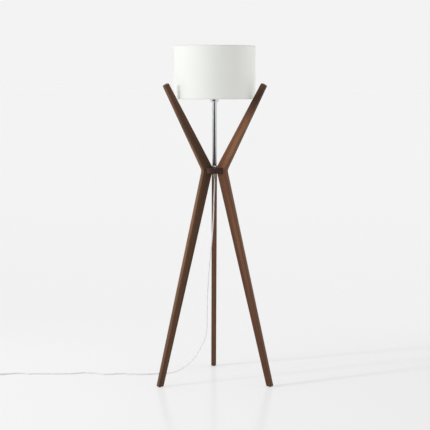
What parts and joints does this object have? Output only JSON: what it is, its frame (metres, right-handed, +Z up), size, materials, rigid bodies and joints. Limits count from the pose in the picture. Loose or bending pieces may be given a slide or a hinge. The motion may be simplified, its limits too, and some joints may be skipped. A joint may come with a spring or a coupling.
{
  "type": "tripod floor lamp",
  "caption": "Floor lamp with a tripod of dark wooden boards in a slotted hub, bent arms beside a white drum shade, a polished pole and a clear mains cord.",
  "frame": {"origin": "the point on the floor straight under the pole, in the middle of the circle of the feet", "axes": "+Z up along the pole, +Y towards the rear foot, +X towards the right front foot's side"},
  "size_m": [1.4212, 0.4964, 1.5717],
  "materials": {
    "wood": "dark walnut stain, satin",
    "polished": "polished",
    "steel": "zinc plated",
    "brass": "plain",
    "holder": "moulded, white",
    "knob": "moulded, white",
    "fabric": "white, matt, on a stiff liner",
    "wire": "white enamel",
    "glass": "frosted white",
    "bulb_cap": "plain",
    "glide": "matt, black",
    "grip": "clear, milky",
    "cord": "clear jacket over pale wires",
    "tie": "white",
    "plug": "moulded, white"
  },
  "bodies": {
    "stand": {"leg_left": "wood", "leg_right": "wood", "leg_rear": "wood", "foot_glides": "glide", "hub": "wood", "leg_screws": "steel", "collar": "polished", "pole": "polished", "rod": "steel", "hub_washer": "steel", "hub_nut": "steel", "cup": "polished", "cup_washer": "steel", "cup_nut": "steel", "holder_body": "holder", "holder_skirt": "holder", "screw_contact": "brass", "centre_contact": "brass", "lock_ring": "holder", "bulb_cap": "bulb_cap", "bulb_glass": "glass", "cord_grip": "grip", "cord_inner": "cord", "cord": "cord", "cord_coil": "cord", "cord_tie": "tie", "plug_body": "plug", "plug_pins": "steel"},
    "shade": {"shade_cover": "fabric", "shade_top_ring": "wire", "shade_bottom_ring": "wire", "shade_spider": "wire"},
    "switch": {"spindle": "brass", "knob": "knob"}
  },
  "joints": [
    {"name": "shade_turn", "type": "hinge", "parent": "stand", "child": "shade", "pos_m": [0, 0, 1.3757], "axis": [0, 0, 1], "continuous": true},
    {"name": "switch_turn", "type": "hinge", "parent": "stand", "child": "switch", "pos_m": [0.0205, 0, 1.3567], "axis": [1, 0, 0], "continuous": true}
  ]
}
